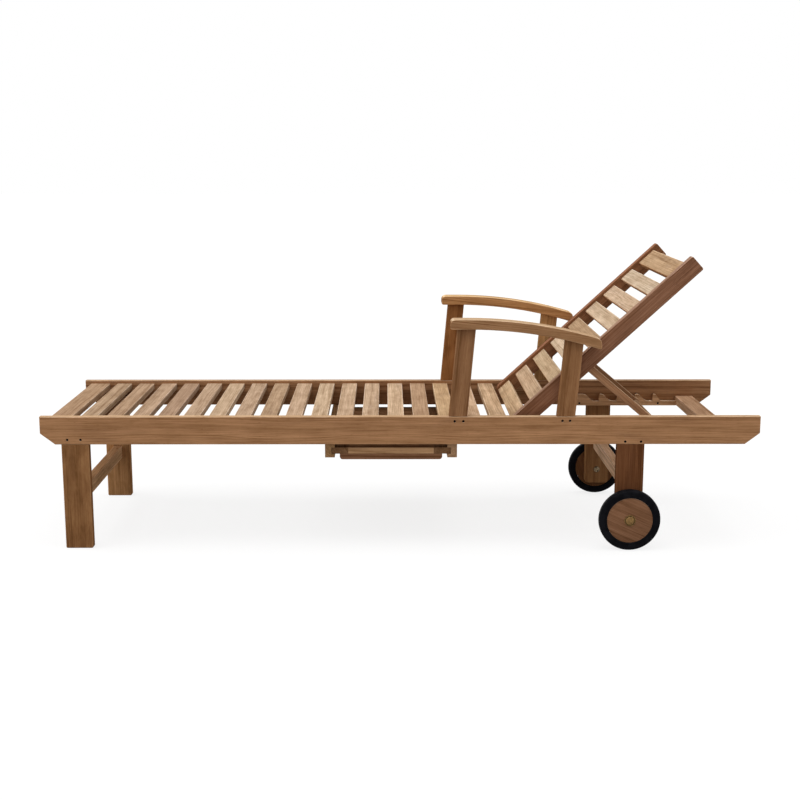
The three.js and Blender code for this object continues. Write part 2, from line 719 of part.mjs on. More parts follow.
/** A wooden disc with a rubber tyre, on a cap-headed axle bolt through the rear leg. */
function buildWheels() {
  const axleX = rearLegX + legWidth / 2;
  const axleZ = wheelDiameter / 2;
  const discInner = outerY + washerThickness + seatGap + (tyreWidth - discThickness) / 2;
  const discOuter = discInner + discThickness;
  const tyreInner = discInner - (tyreWidth - discThickness) / 2;
  const tyreOuter = tyreInner + tyreWidth;
  const washerOuter = discInner - seatGap;
  const shank = axleDiameter / 2;
  const capSeat = discOuter + seatGap;
  const cap = capDiameter / 2;
  const nut = nutDiameter / 2;
  const nutSeat = legInnerY - seatGap;

  const bore = shank + pinGap;
  const rim = discDiameter / 2;
  const disc = [
    [bore, discInner],
    [rim, discInner],
    [rim, discOuter - arris],
    [rim - arris, discOuter],
    [bore, discOuter],
    [bore, discInner],
  ];
  const tread = wheelDiameter / 2;
  const bead = rim + seatGap;
  const lowShoulder = tyreShoulder * 0.3;
  const tyre = [
    [bead, tyreInner],
    [tread - tyreShoulder, tyreInner],
    [tread - lowShoulder, tyreInner + lowShoulder],
    [tread, tyreInner + tyreShoulder],
    [tread, tyreOuter - tyreShoulder],
    [tread - lowShoulder, tyreOuter - lowShoulder],
    [tread - tyreShoulder, tyreOuter],
    [bead, tyreOuter],
    [bead, tyreInner],
  ];
  const bolt = [
    [0, nutSeat - nutHeight],
    [nut - nutEdge, nutSeat - nutHeight],
    [nut, nutSeat - nutHeight + nutEdge],
    [nut, nutSeat],
    [shank, nutSeat],
    [shank, outerY + seatGap],
    [washerDiameter / 2, outerY + seatGap],
    [washerDiameter / 2, washerOuter],
    [shank, washerOuter],
    [shank, capSeat],
    [cap, capSeat],
    [cap, capSeat + capEdge],
    [cap * 0.8, capSeat + capHeight * 0.75],
    [cap * 0.4, capSeat + capHeight],
    [0, capSeat + capHeight],
  ];
  for (const { name, sign } of sides) {
    addPiece(`wheel_disc_${name}`, turned(disc, sign, axleX, axleZ, 48));
    addPiece(`tyre_${name}`, turned(tyre, sign, axleX, axleZ, 48), 'rubber');
    addPiece(`axle_bolt_${name}`, turned(bolt, sign, axleX, axleZ, 24), 'brass');
  }
}

// ---------------------------------------------------------------- assembly

const boardMortises = buildBedBoards();
const legMortises = buildLegs();
const postMortises = buildArmrests();
buildSideRails(boardMortises, legMortises, postMortises);
buildRacks();
buildBackrest();
buildProp();
buildTray();
buildWheels();

export default lounger;
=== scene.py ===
"""Looks for a reclining teak sun lounger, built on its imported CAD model.

Units are metres in the frame of the model: X runs from the foot end to the head end, Z is up, and
the left-hand side of someone lying on the lounger is at -Y. Names ending in _MM or _mm hold
millimetres.
"""
import json
import math
import random

import bpy
from mathutils import Matrix, Vector

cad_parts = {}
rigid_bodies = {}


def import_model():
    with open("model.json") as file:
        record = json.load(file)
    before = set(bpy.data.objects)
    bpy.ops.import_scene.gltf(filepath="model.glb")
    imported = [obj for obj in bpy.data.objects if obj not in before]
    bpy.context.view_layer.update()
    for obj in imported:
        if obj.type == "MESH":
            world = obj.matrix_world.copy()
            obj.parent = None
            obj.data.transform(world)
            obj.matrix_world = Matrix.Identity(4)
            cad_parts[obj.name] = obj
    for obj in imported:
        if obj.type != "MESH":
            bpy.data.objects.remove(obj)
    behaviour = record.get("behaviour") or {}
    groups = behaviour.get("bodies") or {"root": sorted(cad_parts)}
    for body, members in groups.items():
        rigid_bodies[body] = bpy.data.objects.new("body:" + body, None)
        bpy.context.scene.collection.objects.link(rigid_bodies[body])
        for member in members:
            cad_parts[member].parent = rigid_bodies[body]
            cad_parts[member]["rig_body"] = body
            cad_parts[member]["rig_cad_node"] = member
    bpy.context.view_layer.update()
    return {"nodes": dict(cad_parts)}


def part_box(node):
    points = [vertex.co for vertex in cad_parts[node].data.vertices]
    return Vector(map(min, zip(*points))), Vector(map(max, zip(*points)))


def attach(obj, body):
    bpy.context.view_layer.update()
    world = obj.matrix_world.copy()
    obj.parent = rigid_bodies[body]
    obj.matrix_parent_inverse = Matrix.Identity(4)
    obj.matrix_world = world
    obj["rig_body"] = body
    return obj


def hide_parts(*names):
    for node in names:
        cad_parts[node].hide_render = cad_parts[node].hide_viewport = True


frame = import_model()
nodes = frame["nodes"]
scene = bpy.context.scene
scene.view_settings.view_transform = "Standard"

MM = 0.001
RECLINE = math.radians(42.7)  # the backrest as it stands
PROP_SLOPE = math.radians(-39.85)  # the prop, from its pivot down to the racks
sides = (("left", -1), ("right", 1))

# ---------------------------------------------------------------- camera

camera_data = bpy.data.cameras.new("camera")
camera = bpy.data.objects.new("camera", camera_data)
scene.collection.objects.link(camera)
scene.camera = camera
camera_data.sensor_width = 36
camera_data.lens = 65.303
camera_data.shift_x = 0.0101
camera_data.shift_y = 0.0839
camera_data.clip_end = 60
camera.location = (-0.0359, -4.2829, 1.1092)
camera.rotation_euler = (math.radians(90 - 12.494), math.radians(0.007), math.radians(-0.188))

# ---------------------------------------------------------------- node helpers


def linear(hex_colour):
    """An sRGB hex colour as linear RGBA."""
    values = [int(hex_colour[i : i + 2], 16) / 255 for i in (1, 3, 5)]
    return [v / 12.92 if v <= 0.04045 else ((v + 0.055) / 1.055) ** 2.4 for v in values] + [1]


def add(tree, kind, links=None, out=0, **settings):
    """Adds a node with its settings, fills or links its inputs, and gives one of its outputs."""
    node = tree.nodes.new(kind)
    for name, value in settings.items():
        setattr(node, name, value)
    for socket, value in (links or {}).items():
        if isinstance(value, bpy.types.NodeSocket):
            tree.links.new(value, node.inputs[socket])
        else:
            node.inputs[socket].default_value = value
    return node.outputs[out] if node.outputs else node


def new_material(name):
    material = bpy.data.materials.new(name)
    material.use_nodes = True
    material.node_tree.nodes.clear()
    return material, material.node_tree


def dress(piece, material):
    """Gives a piece this one material."""
    piece.data.materials.clear()
    piece.data.materials.append(material)


# ---------------------------------------------------------------- bench work


def middle(node):
    low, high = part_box(node)
    return (low + high) / 2


def pick(piece):
    """Makes this piece the active one and the only one selected."""
    bpy.ops.object.select_all(action="DESELECT")
    piece.select_set(True)
    bpy.context.view_layer.objects.active = piece


def stand_for(piece, node):
    """The finished piece takes the place of its CAD node, on the same body, and the CAD node is
    hidden.
    """
    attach(piece, nodes[node]["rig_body"])
    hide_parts(node)


def planed_copy(node):
    """A copy of a CAD board with whole faces, ready to be drilled."""
    pick(nodes[node])
    bpy.ops.object.duplicate()
    bpy.ops.object.parent_clear(type="CLEAR_KEEP_TRANSFORM")
    board = bpy.context.object
    board.name = f"{node}_board"
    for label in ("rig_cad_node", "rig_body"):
        del board[label]
    bpy.ops.object.mode_set(mode="EDIT")
    bpy.ops.mesh.select_all(action="SELECT")
    bpy.ops.mesh.remove_doubles(threshold=1e-5)
    bpy.ops.mesh.dissolve_limited(angle_limit=math.radians(0.5))
    bpy.ops.object.mode_set(mode="OBJECT")
    return board


def drill(piece, drills):
    """Cuts these joined-up drill shapes out of a piece."""
    pick(drills[0])
    for cutter in drills[1:]:
        cutter.select_set(True)
    if len(drills) > 1:
        bpy.ops.object.join()
    cutter = bpy.context.object
    pick(piece)
    bpy.ops.object.modifier_add(type="BOOLEAN")
    cut = piece.modifiers[-1]
    cut.object = cutter
    cut.solver = "EXACT"
    bpy.ops.object.modifier_apply(modifier=cut.name)
    bpy.data.objects.remove(cutter)


BOARD_SMOOTH_DEG = 50  # faces that meet at less than this shade as one round
LATHE_SMOOTH_DEG = 32


def soften(piece):
    """Sanded arrises shade as rounds between faces that stay flat."""
    pick(piece)
    bpy.ops.object.shade_smooth_by_angle(angle=math.radians(BOARD_SMOOTH_DEG))
    bpy.ops.object.modifier_add(type="WEIGHTED_NORMAL")
    even = piece.modifiers[-1]
    even.keep_sharp = True
    bpy.ops.object.modifier_apply(modifier=even.name)


def arc(centre, radius, start, end, steps):
    """Points (radius, y) of a profile along an arc, from one angle in degrees to another."""
    angles = [math.radians(start + (end - start) * n / steps) for n in range(steps + 1)]
    return [(centre[0] + radius * math.cos(a), centre[1] + radius * math.sin(a)) for a in angles]


def turned(name, profile_mm, axle_x, axle_z, steps):
    """Lathe work: a half profile drawn point by point as (radius, y), then spun about the axle."""
    bpy.ops.object.select_all(action="DESELECT")
    bpy.ops.mesh.primitive_plane_add(size=0.001, location=(0, 0, 0))
    piece = bpy.context.object
    piece.name = name
    points = [Vector((axle_x, y * MM, axle_z + radius * MM)) for radius, y in profile_mm]
    bpy.ops.object.mode_set(mode="EDIT")
    bpy.ops.mesh.select_all(action="SELECT")
    bpy.ops.mesh.merge(type="CENTER")
    bpy.ops.transform.translate(value=points[0])
    for here, there in zip(points, points[1:]):
        bpy.ops.mesh.extrude_vertices_move(TRANSFORM_OT_translate={"value": there - here})
    bpy.ops.mesh.select_all(action="SELECT")
    bpy.ops.mesh.spin(steps=steps, angle=math.tau, center=(axle_x, 0, axle_z), axis=(0, 1, 0))
    bpy.ops.mesh.select_all(action="SELECT")
    bpy.ops.mesh.remove_doubles(threshold=3e-6)
    bpy.ops.mesh.normals_make_consistent(inside=False)
    bpy.ops.object.mode_set(mode="OBJECT")
    bpy.ops.object.shade_smooth_by_angle(angle=math.radians(LATHE_SMOOTH_DEG))
    return piece


def copy_to(master, name, place, facing=-1):
    """A copy with its own mesh, moved to its place. It faces -Y, or +Y when turned half round."""
    pick(master)
    bpy.ops.object.duplicate()
    copy = bpy.context.object
    copy.name = name
    copy.location = place
    copy.rotation_euler = (0, 0, 0 if facing < 0 else math.pi)
    bpy.ops.object.transform_apply(location=True, rotation=True, scale=True)
    return copy


# ---------------------------------------------------------------- teak

RING_MM = 5.2  # a slow plantation teak lays down 4 to 7 mm of wood in a year
FIBRE_MM = 2.6  # the width of a bundle of fibres
VESSEL_MM = 1.1  # real teak vessels are 0.3 mm wide, drawn coarser so that they show
SWING_MM = 14.0  # how far the rings wander sideways along a board


def teak_grain():
    """Node group: sanded teak, from a board's own millimetre coordinates with X along the grain.

    Year rings run round a pith beside the board, so a face shows long streaks, an end shows arcs,
    and both meet at the edge. Fibres and open vessels lie along the grain.
    """
    tree = bpy.data.node_groups.new("teak_grain", "ShaderNodeTree")
    for name, kind in (
        ("Board", "Vector"),
        ("Facing", "Vector"),
        ("Upward", "Float"),
        ("Pith", "Vector"),
        ("Wood", "Color"),
        ("WeatherAndPaintedLight", "Color"),
        ("Seed", "Float"),
        ("Figure", "Float"),
        ("Mottle", "Float"),
    ):
        tree.interface.new_socket(name, in_out="INPUT", socket_type=f"NodeSocket{kind}")
    for name, kind in (("Colour", "Color"), ("Roughness", "Float"), ("Height", "Float")):
        tree.interface.new_socket(name, in_out="OUTPUT", socket_type=f"NodeSocket{kind}")
    math_node = "ShaderNodeMath"
    vector_node = "ShaderNodeVectorMath"
    range_node = "ShaderNodeMapRange"
    noise_node = "ShaderNodeTexNoise"
    smooth = {"interpolation_type": "SMOOTHSTEP"}
    mixed = {"out": 2, "data_type": "RGBA"}
    multiplied = {**mixed, "blend_type": "MULTIPLY"}

    def stretched(along_mm, across_mm):
        """Board coordinates for a pattern this long along the grain and this wide across it."""
        scale = (1 / along_mm, 1 / across_mm, 1 / across_mm)
        return add(tree, vector_node, {0: place, 1: scale}, operation="MULTIPLY")

    # Each board is cut from another part of the log.
    given = add(tree, "NodeGroupInput").node.outputs
    shift = {0: (1.0, 0.37, 0.61), "Scale": given["Seed"]}
    shift = add(tree, vector_node, shift, operation="SCALE")
    place = add(tree, vector_node, {0: given["Board"], 1: shift}, operation="ADD")

    # The trunk wanders: rings swing sideways by a few millimetres over half a metre.
    swing = {"Vector": stretched(380, 140), "Scale": 1, "Detail": 1.0}
    swing = add(tree, noise_node, swing, out="Color")
    swing = add(tree, vector_node, {0: swing, 1: (0.5, 0.5, 0.5)}, operation="SUBTRACT")
    swing = add(tree, vector_node, {0: swing, "Scale": SWING_MM}, operation="SCALE")
    around = add(tree, vector_node, {0: given["Board"], 1: given["Pith"]}, operation="SUBTRACT")
    around = add(tree, vector_node, {0: around, 1: swing}, operation="ADD")
    across = add(tree, vector_node, {0: around, 1: (0, 1, 1)}, operation="MULTIPLY")
    radius = add(tree, vector_node, {0: across}, out="Value", operation="LENGTH")

    # Year rings: wide and narrow years, each ending in a darker line of late wood.
    years = add(tree, math_node, {0: radius, 1: given["Seed"]}, operation="ADD")
    spread = add(tree, math_node, {0: years, 1: 1 / 34}, operation="MULTIPLY")
    uneven = add(tree, noise_node, {"W": spread, "Scale": 1, "Detail": 1.0}, noise_dimensions="1D")
    phase = add(tree, math_node, {0: radius, 1: 1 / RING_MM}, operation="MULTIPLY")
    phase = add(tree, math_node, {0: uneven, 1: 7.0, 2: phase}, operation="MULTIPLY_ADD")
    within = add(tree, math_node, {0: phase}, operation="FRACT")
    year = add(tree, math_node, {0: phase}, operation="FLOOR")
    late = add(tree, range_node, {"Value": within, 1: 0.5, 2: 0.95}, **smooth)
    year_end = add(tree, range_node, {"Value": within, 1: 1.0, 2: 0.96}, **smooth)
    late = add(tree, math_node, {0: late, 1: year_end}, operation="MULTIPLY")
    good_year = add(tree, "ShaderNodeTexWhiteNoise", {"W": year}, noise_dimensions="1D")
    good_year = add(tree, math_node, {0: good_year, 1: 1.8}, operation="POWER")
    ring = add(tree, math_node, {0: late, 1: good_year}, operation="MULTIPLY")

    # Broad streaks of darker heartwood, 10 to 20 mm wide and as long as the board.
    band = add(tree, math_node, {0: years, 1: 1 / 15}, operation="MULTIPLY")
    streak = {"W": band, "Scale": 1, "Detail": 3.0, "Roughness": 0.6}
    streak = add(tree, noise_node, streak, noise_dimensions="1D")

    # Cloudy patches, flecks and fibres, from broad to fine.
    cloud = add(tree, noise_node, {"Vector": stretched(95, 30), "Scale": 1, "Detail": 3.0})
    fleck = {"Vector": stretched(110, 4.2), "Scale": 1, "Detail": 3.0, "Roughness": 0.6}
    fleck = add(tree, noise_node, fleck)
    fibre = {"Vector": stretched(150, FIBRE_MM), "Scale": 1, "Detail": 3.0, "Roughness": 0.7}
    fibre = add(tree, noise_node, fibre)
    vessel = add(tree, noise_node, {"Vector": stretched(16, VESSEL_MM), "Scale": 1, "Detail": 0.0})
    vessel = add(tree, range_node, {"Value": vessel, 1: 0.64, 2: 0.78}, **smooth)

    # All of it as one scale from deep (0) to pale (1).
    tone = 0.5
    for pattern, weight in ((streak, 0.85), (cloud, 0.6), (fleck, 0.6), (fibre, 1.5)):
        level = add(tree, math_node, {0: pattern, 1: 0.5}, operation="SUBTRACT")
        tone = add(tree, math_node, {0: level, 1: weight, 2: tone}, operation="MULTIPLY_ADD")
    mottle = {"Vector": stretched(62, 24), "Scale": 1, "Detail": 5.0, "Roughness": 0.62}
    mottle = add(tree, noise_node, {**mottle, "Distortion": 0.4})
    mottle = add(tree, math_node, {0: mottle, 1: 0.5}, operation="SUBTRACT")
    tone = add(tree, math_node, {0: mottle, 1: given["Mottle"], 2: tone}, operation="MULTIPLY_ADD")
    figure = add(tree, math_node, {0: ring, 1: given["Figure"]}, operation="MULTIPLY")
    tone = add(tree, math_node, {0: tone, 1: figure}, operation="SUBTRACT", use_clamp=True)
    light_and_dark = {"Factor": tone, 6: (0.60, 0.53, 0.46, 1), 7: (1.30, 1.32, 1.36, 1)}
    light_and_dark = add(tree, "ShaderNodeMix", light_and_dark, **mixed)
    tinted = {"Factor": 1.0, 6: given["Wood"], 7: light_and_dark}
    colour = add(tree, "ShaderNodeMix", tinted, **multiplied)

    # A few grey-brown heartwood patches, as teak has before the sun evens it out.
    patch = {"Vector": stretched(230, 40), "Scale": 1, "Detail": 2.0, "Distortion": 0.6}
    patch = add(tree, noise_node, patch)
    patch = add(tree, range_node, {"Value": patch, 1: 0.57, 2: 0.74, 4: 0.5}, **smooth)
    grey = {"Factor": 1.0, 6: colour, 7: (0.76, 0.76, 0.82, 1)}
    grey = add(tree, "ShaderNodeMix", grey, **multiplied)
    colour = add(tree, "ShaderNodeMix", {"Factor": patch, 6: colour, 7: grey}, **mixed)

    # Thin dark streaks, a hand long, and here and there a pin knot.
    line = add(tree, noise_node, {"Vector": stretched(420, 6.5), "Scale": 1, "Detail": 1.0})
    line = add(tree, range_node, {"Value": line, 1: 0.66, 2: 0.76, 4: 0.4}, **smooth)
    knots = {"Vector": stretched(210, 70), "Scale": 1}
    knots = add(tree, "ShaderNodeTexVoronoi", knots).node.outputs
    rare = add(tree, math_node, {0: knots["Color"], 1: 0.62}, operation="GREATER_THAN")
    knot = add(tree, range_node, {"Value": knots["Distance"], 1: 0.055, 2: 0.03, 4: 0.55}, **smooth)
    knot = add(tree, math_node, {0: knot, 1: rare}, operation="MULTIPLY")
    pores = add(tree, math_node, {0: vessel, 1: 0.3}, operation="MULTIPLY")
    for dark_part in (line, knot, pores):
        deep = {"Factor": 1.0, 6: colour, 7: (0.42, 0.34, 0.27, 1)}
        deep = add(tree, "ShaderNodeMix", deep, **multiplied)
        colour = add(tree, "ShaderNodeMix", {"Factor": dark_part, 6: colour, 7: deep}, **mixed)

    # Sawn ends drink more oil and look darker.
    facing = add(tree, vector_node, {0: given["Facing"]}, operation="ABSOLUTE")
    faces = add(tree, "ShaderNodeSeparateXYZ", {0: facing}).node.outputs
    end = add(tree, range_node, {"Value": faces[0], 1: 0.55, 2: 0.9}, **smooth)
    oiled = {"Factor": 1.0, 6: colour, 7: (0.62, 0.56, 0.5, 1)}
    oiled = add(tree, "ShaderNodeMix", oiled, **multiplied)
    colour = add(tree, "ShaderNodeMix", {"Factor": end, 6: colour, 7: oiled}, **mixed)

    # Faces that look up take another tint than the sides: weathering with a painted sheen on boards
    # in the sun, painted shade on boards under the seat and backrest.
    sky = add(tree, range_node, {"Value": given["Upward"], 1: 0.35, 2: 0.68}, **smooth)
    uneven_top_tint = add(tree, noise_node, {"Vector": stretched(160, 60), "Scale": 1, "Detail": 2.0})
    uneven_top_tint = add(tree, range_node, {"Value": uneven_top_tint, 1: 0.3, 2: 0.6, 3: 0.82, 4: 1.0})
    sky = add(tree, math_node, {0: sky, 1: uneven_top_tint}, operation="MULTIPLY")
    weathered = {"Factor": 1.0, 6: colour, 7: given["WeatherAndPaintedLight"]}
    weathered = add(tree, "ShaderNodeMix", weathered, **multiplied)
    colour = add(tree, "ShaderNodeMix", {"Factor": sky, 6: colour, 7: weathered}, **mixed)

    # Sanded arrises are rubbed paler, unevenly, and the same paling is a painted highlight along
    # them.
    flat = add(tree, math_node, {0: faces[1], 1: faces[2]}, operation="MAXIMUM")
    flat = add(tree, math_node, {0: flat, 1: faces[0]}, operation="MAXIMUM")
    rubbed_and_lit_arris = add(tree, range_node, {"Value": flat, 1: 0.99, 2: 0.9}, **smooth)
    rub = add(tree, noise_node, {"Vector": stretched(30, 9), "Scale": 1, "Detail": 2.0})
    rub = add(tree, range_node, {"Value": rub, 1: 0.3, 2: 0.6, 3: 0.45, 4: 1.0})
    rubbed_and_lit_arris = add(tree, math_node, {0: rubbed_and_lit_arris, 1: rub}, operation="MULTIPLY")
    pale = {"Factor": 1.0, 6: colour, 7: (1.45, 1.6, 1.8, 1)}
    pale = add(tree, "ShaderNodeMix", pale, **multiplied)
    colour = add(tree, "ShaderNodeMix", {"Factor": rubbed_and_lit_arris, 6: colour, 7: pale}, **mixed)

    rough = add(tree, range_node, {"Value": tone, 3: 0.68, 4: 0.82})
    rough = add(tree, math_node, {0: end, 1: 0.14, 2: rough}, operation="MULTIPLY_ADD")
    height = add(tree, math_node, {0: fibre, 1: 0.12}, operation="MULTIPLY")
    height = add(tree, math_node, {0: ring, 1: -0.08, 2: height}, operation="MULTIPLY_ADD")
    height = add(tree, math_node, {0: vessel, 1: -0.12, 2: height}, operation="MULTIPLY_ADD")
    add(tree, "NodeGroupOutput", {"Colour": colour, "Roughness": rough, "Height": height})
    return tree


GRAIN = teak_grain()

# Boards come from different logs, so each has a colour of its own; a few tones below also carry
# painted light, as noted.
SEAT_SLATS = (
    "#ac8e72", "#ad9277", "#b09378", "#b3977d", "#a58971", "#b79c82",
    "#c0a68a", "#b69b81", "#af9377", "#bb9f84", "#c4aa8d", "#c0a488",
    "#c1a589", "#cbaf91", "#b19275", "#c1a27e", "#cdae90", "#c1a383",
)  # from the foot end
BACK_SLATS = (
    "#aa815c", "#a8805e", "#ab8561", "#b79270", "#9d7553",
    "#b28c6a", "#b78f6d", "#b38f6e", "#a87d58",
)  # from the pivot up
WOOD = {
    "side_rail": ("#b4865f", "#a47956"),  # left, right
    "front_leg": ("#946a45", "#af8257"),
    "rear_leg": ("#744b30", "#946b46"),
    "arm_post_front": ("#986e4c", "#90623b"),
    "arm_post_rear": ("#a27651", "#b78b5c"),
    "armrest": ("#af845e", "#bc8b5c"),
    # The right rack is painted paler than the left: painted light that makes up for the shade it
    # stands in.
    "rack": ("#a37c5a", "#c99c74"),
    "back_rail": ("#976c52", "#8d6143"),
    "prop_arm": ("#b98c68", "#9b7252"),
    "wheel_disc": ("#8d664b", "#7b5436"),
    # The rear cross rail, the stretchers and the runners are painted paler than the other boards:
    # painted light that makes up for the shade under the seat and backrest.
    "cross_rail": ("#ac8562", "#d2ad8b"),  # front, rear
    "stretcher": ("#deb388", "#ecc8a6"),
    "runner": ("#c39f76", "#d2ae8c"),  # foot, head
    "tray_deck": ("#b58d66", "#d3a981", "#9e7c5d"),  # boards from deep to pale, stiles
    "tray_pull": "#825c42",
    "prop_bar": "#8b6242",
}

# A tint over the wood's own colour on the faces that look up: weathering with a painted sheen on
# boards in the sun, painted shade on boards under the seat and backrest.
BLEACHED_AND_SHEEN = (1.35, 1.75, 2.2, 1)  # paler and less red, on all that the sun reaches: weathering, and a painted sheen
HALF_BLEACHED_AND_SHEEN = (1.25, 1.3, 1.6, 1)  # a redder board that has paled less, with less painted sheen
EVEN = (1, 1, 1, 1)  # as on the sides: the seat slats, the front cross rail and the tray's pull
TOPS_PAINTED_SHADE = (0.7, 0.66, 0.64, 1)  # painted shade on the tops of the rear cross rail and stretcher
TOPS_DEEP_PAINTED_SHADE = (0.5, 0.44, 0.4, 1)  # deeper painted shade on the tops of the tray, its runners and the front stretcher

# How strongly the year rings and the blotches show on a board.
FIGURE, MOTTLE = 0.75, 0.3
SLAT_FIGURE, SLAT_MOTTLE = 0.4, 0.8
FRONT_LEG_FIGURE, FRONT_LEG_MOTTLE = 0.4, 1.6
FAR_POST_MOTTLE = 1.4

# Which way the grain runs: the board's own X, Y (across) and Z (thickness) in the frame.
ALONG_X = Matrix(((1, 0, 0), (0, 1, 0), (0, 0, 1)))
ALONG_Y = Matrix(((0, -1, 0), (1, 0, 0), (0, 0, 1)))
ALONG_Z = Matrix(((0, 1, 0), (0, 0, 1), (1, 0, 0)))


def swung_up(grain, angle):
    """The same grain directions on a piece that is swung up about Y by this angle."""
    return Matrix.Rotation(-angle, 3, "Y") @ grain


def board_axes(tree, grain, centre):
    """Millimetre coordinates and facing with X along the grain, and how far up a face looks."""
    turn = grain.to_euler()
    where = add(tree, "ShaderNodeTexCoord").node.outputs
    at_centre = {"Vector": where["Object"], "Location": centre, "Rotation": turn}
    board = add(tree, "ShaderNodeMapping", at_centre, vector_type="TEXTURE")
    board = add(tree, "ShaderNodeVectorMath", {0: board, "Scale": 1000.0}, operation="SCALE")
    facing = {"Vector": where["Normal"], "Rotation": turn}
    facing = add(tree, "ShaderNodeMapping", facing, vector_type="TEXTURE")
    upward = add(tree, "ShaderNodeSeparateXYZ", {0: where["Normal"]}, out=2)
    return board, facing, upward


def oiled_surface(tree, grain_inputs):
    """Sanded and oiled teak: satin to matt, because the oil soaks in and leaves no film."""
    grain_of = add(tree, "ShaderNodeGroup", grain_inputs, node_tree=GRAIN).node.outputs
    bump = {"Height": grain_of["Height"], "Strength": 0.8, "Distance": 0.001}
    bump = add(tree, "ShaderNodeBump", bump)
    finish = {"Base Color": grain_of["Colour"], "Roughness": grain_of["Roughness"], "Normal": bump}
    finish.update({"IOR": 1.48, "Specular IOR Level": 0.0})
    teak = add(tree, "ShaderNodeBsdfPrincipled", finish)
    add(tree, "ShaderNodeOutputMaterial", {"Surface": teak})


def teak_board(
    name, wood, grain, centre, seed, pith=None, figure=FIGURE, mottle=MOTTLE, weathered=BLEACHED_AND_SHEEN
):
    """Plantation teak: a warm, straight-grained brown with darker streaks and paler arrises."""
    chance = random.Random(seed)
    if pith is None:
        sideways = chance.choice((-1, 1)) * chance.uniform(20, 90)
        pith = (0, sideways, chance.choice((-1, 1)) * chance.uniform(60, 150))
    material, tree = new_material(f"teak_{name}")
    board, facing, upward = board_axes(tree, grain, centre)
    wood = {"Wood": linear(wood), "Figure": figure, "Mottle": mottle, "WeatherAndPaintedLight": weathered}
    cut = {"Pith": pith, "Seed": chance.uniform(100, 900), **wood}
    oiled_surface(tree, {"Board": board, "Facing": facing, "Upward": upward, **cut})
    return material


TRAY_STILE_MM = 46.5
TRAY_LONG_MM = 644
TRAY_BOARDS = 9
TRAY_BOARD_GAP_MM = 5
TRAY_PITCH_MM = (TRAY_LONG_MM + TRAY_BOARD_GAP_MM) / TRAY_BOARDS


def tray_teak(wood, seed):
    """The tray's boards run from stile to stile, and the stiles across them to the tray's ends."""
    material, tree = new_material("teak_tray_deck")
    centre = middle("tray_deck")
    low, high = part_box("tray_deck")
    boards, boards_facing, _ = board_axes(tree, ALONG_X, centre)
    stiles, stiles_facing, upward = board_axes(tree, ALONG_Y, centre)
    along = add(tree, "ShaderNodeSeparateXYZ", {0: boards}).node.outputs
    off_middle = add(tree, "ShaderNodeMath", {0: along[0]}, operation="ABSOLUTE")
    stile_starts = (high.x - low.x) / 2 / MM - TRAY_STILE_MM
    is_stile = {0: off_middle, 1: stile_starts}
    is_stile = add(tree, "ShaderNodeMath", is_stile, operation="GREATER_THAN")
    row = add(tree, "ShaderNodeMath", {0: along[1], 1: 1 / TRAY_PITCH_MM}, operation="MULTIPLY")
    row = add(tree, "ShaderNodeMath", {0: row}, operation="ROUND")
    luck = add(tree, "ShaderNodeTexWhiteNoise", {"W": row}, noise_dimensions="1D")
    tint = {"Factor": luck, 6: linear(wood[0]), 7: linear(wood[1])}
    tint = add(tree, "ShaderNodeMix", tint, out=2, data_type="RGBA")
    tint = {"Factor": is_stile, 6: tint, 7: linear(wood[2])}
    tint = add(tree, "ShaderNodeMix", tint, out=2, data_type="RGBA")
    board = {"Factor": is_stile, 4: boards, 5: stiles}
    board = add(tree, "ShaderNodeMix", board, out=1, data_type="VECTOR")
    facing = {"Factor": is_stile, 4: boards_facing, 5: stiles_facing}
    facing = add(tree, "ShaderNodeMix", facing, out=1, data_type="VECTOR")
    log = add(tree, "ShaderNodeMath", {0: row, 1: 53.0, 2: seed}, operation="MULTIPLY_ADD")
    wood = {"Wood": tint, "Figure": FIGURE, "Mottle": MOTTLE, "WeatherAndPaintedLight": TOPS_DEEP_PAINTED_SHADE}
    cut = {"Pith": (0, 30, 70), "Seed": log, **wood}
    oiled_surface(tree, {"Board": board, "Facing": facing, "Upward": upward, **cut})
    return material


# ---------------------------------------------------------------- rubber and metal


def tyre_rubber():
    """Vulcanised black rubber: near black, satin where hands polish it, with a dusty bloom."""
    material, tree = new_material("moulded_black_rubber")
    where = add(tree, "ShaderNodeTexCoord").node.outputs
    dust = {"Vector": where["Object"], "Scale": 46.0, "Detail": 4.0}
    dust = add(tree, "ShaderNodeTexNoise", dust)
    dust = add(tree, "ShaderNodeMapRange", {"Value": dust, 1: 0.42, 2: 0.72})
    colour = {"Factor": dust, 6: linear("#0f0f12"), 7: linear("#1b1b1f")}
    colour = add(tree, "ShaderNodeMix", colour, out=2, data_type="RGBA")
    grain = {"Vector": where["Object"], "Scale": 900.0, "Detail": 2.0}
    grain = add(tree, "ShaderNodeTexNoise", grain)
    bump = add(tree, "ShaderNodeBump", {"Height": grain, "Strength": 0.35, "Distance": 0.0003})
    rough = add(tree, "ShaderNodeMapRange", {"Value": dust, 3: 0.46, 4: 0.62})
    finish = {"Base Color": colour, "Roughness": rough, "Normal": bump}
    finish.update({"IOR": 1.52, "Specular IOR Level": 0.02})
    rubber = add(tree, "ShaderNodeBsdfPrincipled", finish)
    add(tree, "ShaderNodeOutputMaterial", {"Surface": rubber})
    return material


SHADE_DEEP_MM = (0.2, 0.8)  # below a face: where the painted shade begins, and where it is full
